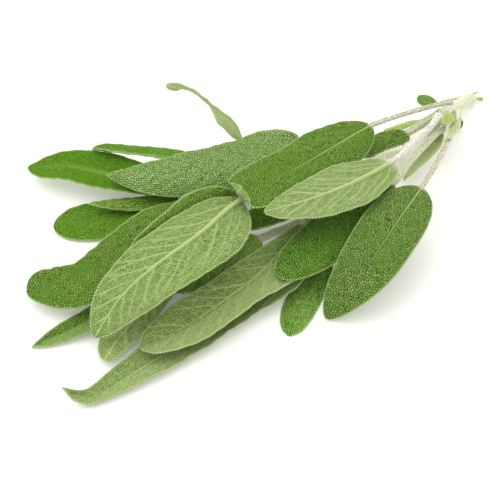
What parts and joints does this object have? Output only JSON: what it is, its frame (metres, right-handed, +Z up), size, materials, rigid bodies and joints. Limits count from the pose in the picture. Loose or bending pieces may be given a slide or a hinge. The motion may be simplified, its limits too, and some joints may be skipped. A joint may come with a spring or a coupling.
{
  "type": "bunch of cut sage",
  "caption": "A bunch of fresh cut common sage lying on its side: two leafy shoots joined on one short woolly stem, with long pebbled grey-green leaves.",
  "frame": {"origin": "centre of the footprint, on the surface that the bunch lies on", "axes": "+X from the leaf tips towards the cut end of the stem, +Z up"},
  "size_m": [0.189, 0.1125, 0.0319],
  "materials": {
    "leaf_green_side": "matt pebbled green leaf, upper side up",
    "leaf_pale_side": "matt felted pale grey-green leaf, underside up",
    "young_leaf": "matt yellow-green young leaf",
    "woolly_stem": "stem under short white wool",
    "cut_stem": "bare green-tan stem, cut square",
    "dry_bud": "dry brown bud"
  },
  "bodies": {
    "root": {"dry_bud": "dry_bud", "leaf_base_dark": "leaf_green_side", "leaf_base_narrow": "leaf_green_side", "leaf_base_round": "leaf_green_side", "leaf_base_yellow": "leaf_green_side", "leaf_blunt_tip": "leaf_green_side", "leaf_cupped": "leaf_green_side", "leaf_dark_inner": "leaf_green_side", "leaf_edge_back": "leaf_green_side", "leaf_far_left": "leaf_green_side", "leaf_front_small": "leaf_green_side", "leaf_hidden_inner": "leaf_green_side", "leaf_left_broad": "leaf_green_side", "leaf_left_low": "leaf_green_side", "leaf_left_narrow": "leaf_green_side", "leaf_left_upper": "leaf_green_side", "leaf_long_low": "leaf_pale_side", "leaf_pale_broad": "leaf_pale_side", "leaf_pale_folded": "leaf_pale_side", "leaf_pale_short": "leaf_pale_side", "leaf_pale_small": "leaf_pale_side", "leaf_pebbled_back": "leaf_green_side", "leaf_right_broad": "leaf_green_side", "leaf_right_inner": "leaf_green_side", "leaf_twisted_back": "leaf_green_side", "leaf_young": "young_leaf", "leaf_young_woolly": "leaf_pale_side", "main_stem": "woolly_stem", "shoot_back": "woolly_stem", "shoot_front": "woolly_stem", "stem_cut_end": "cut_stem"}
  },
  "joints": []
}
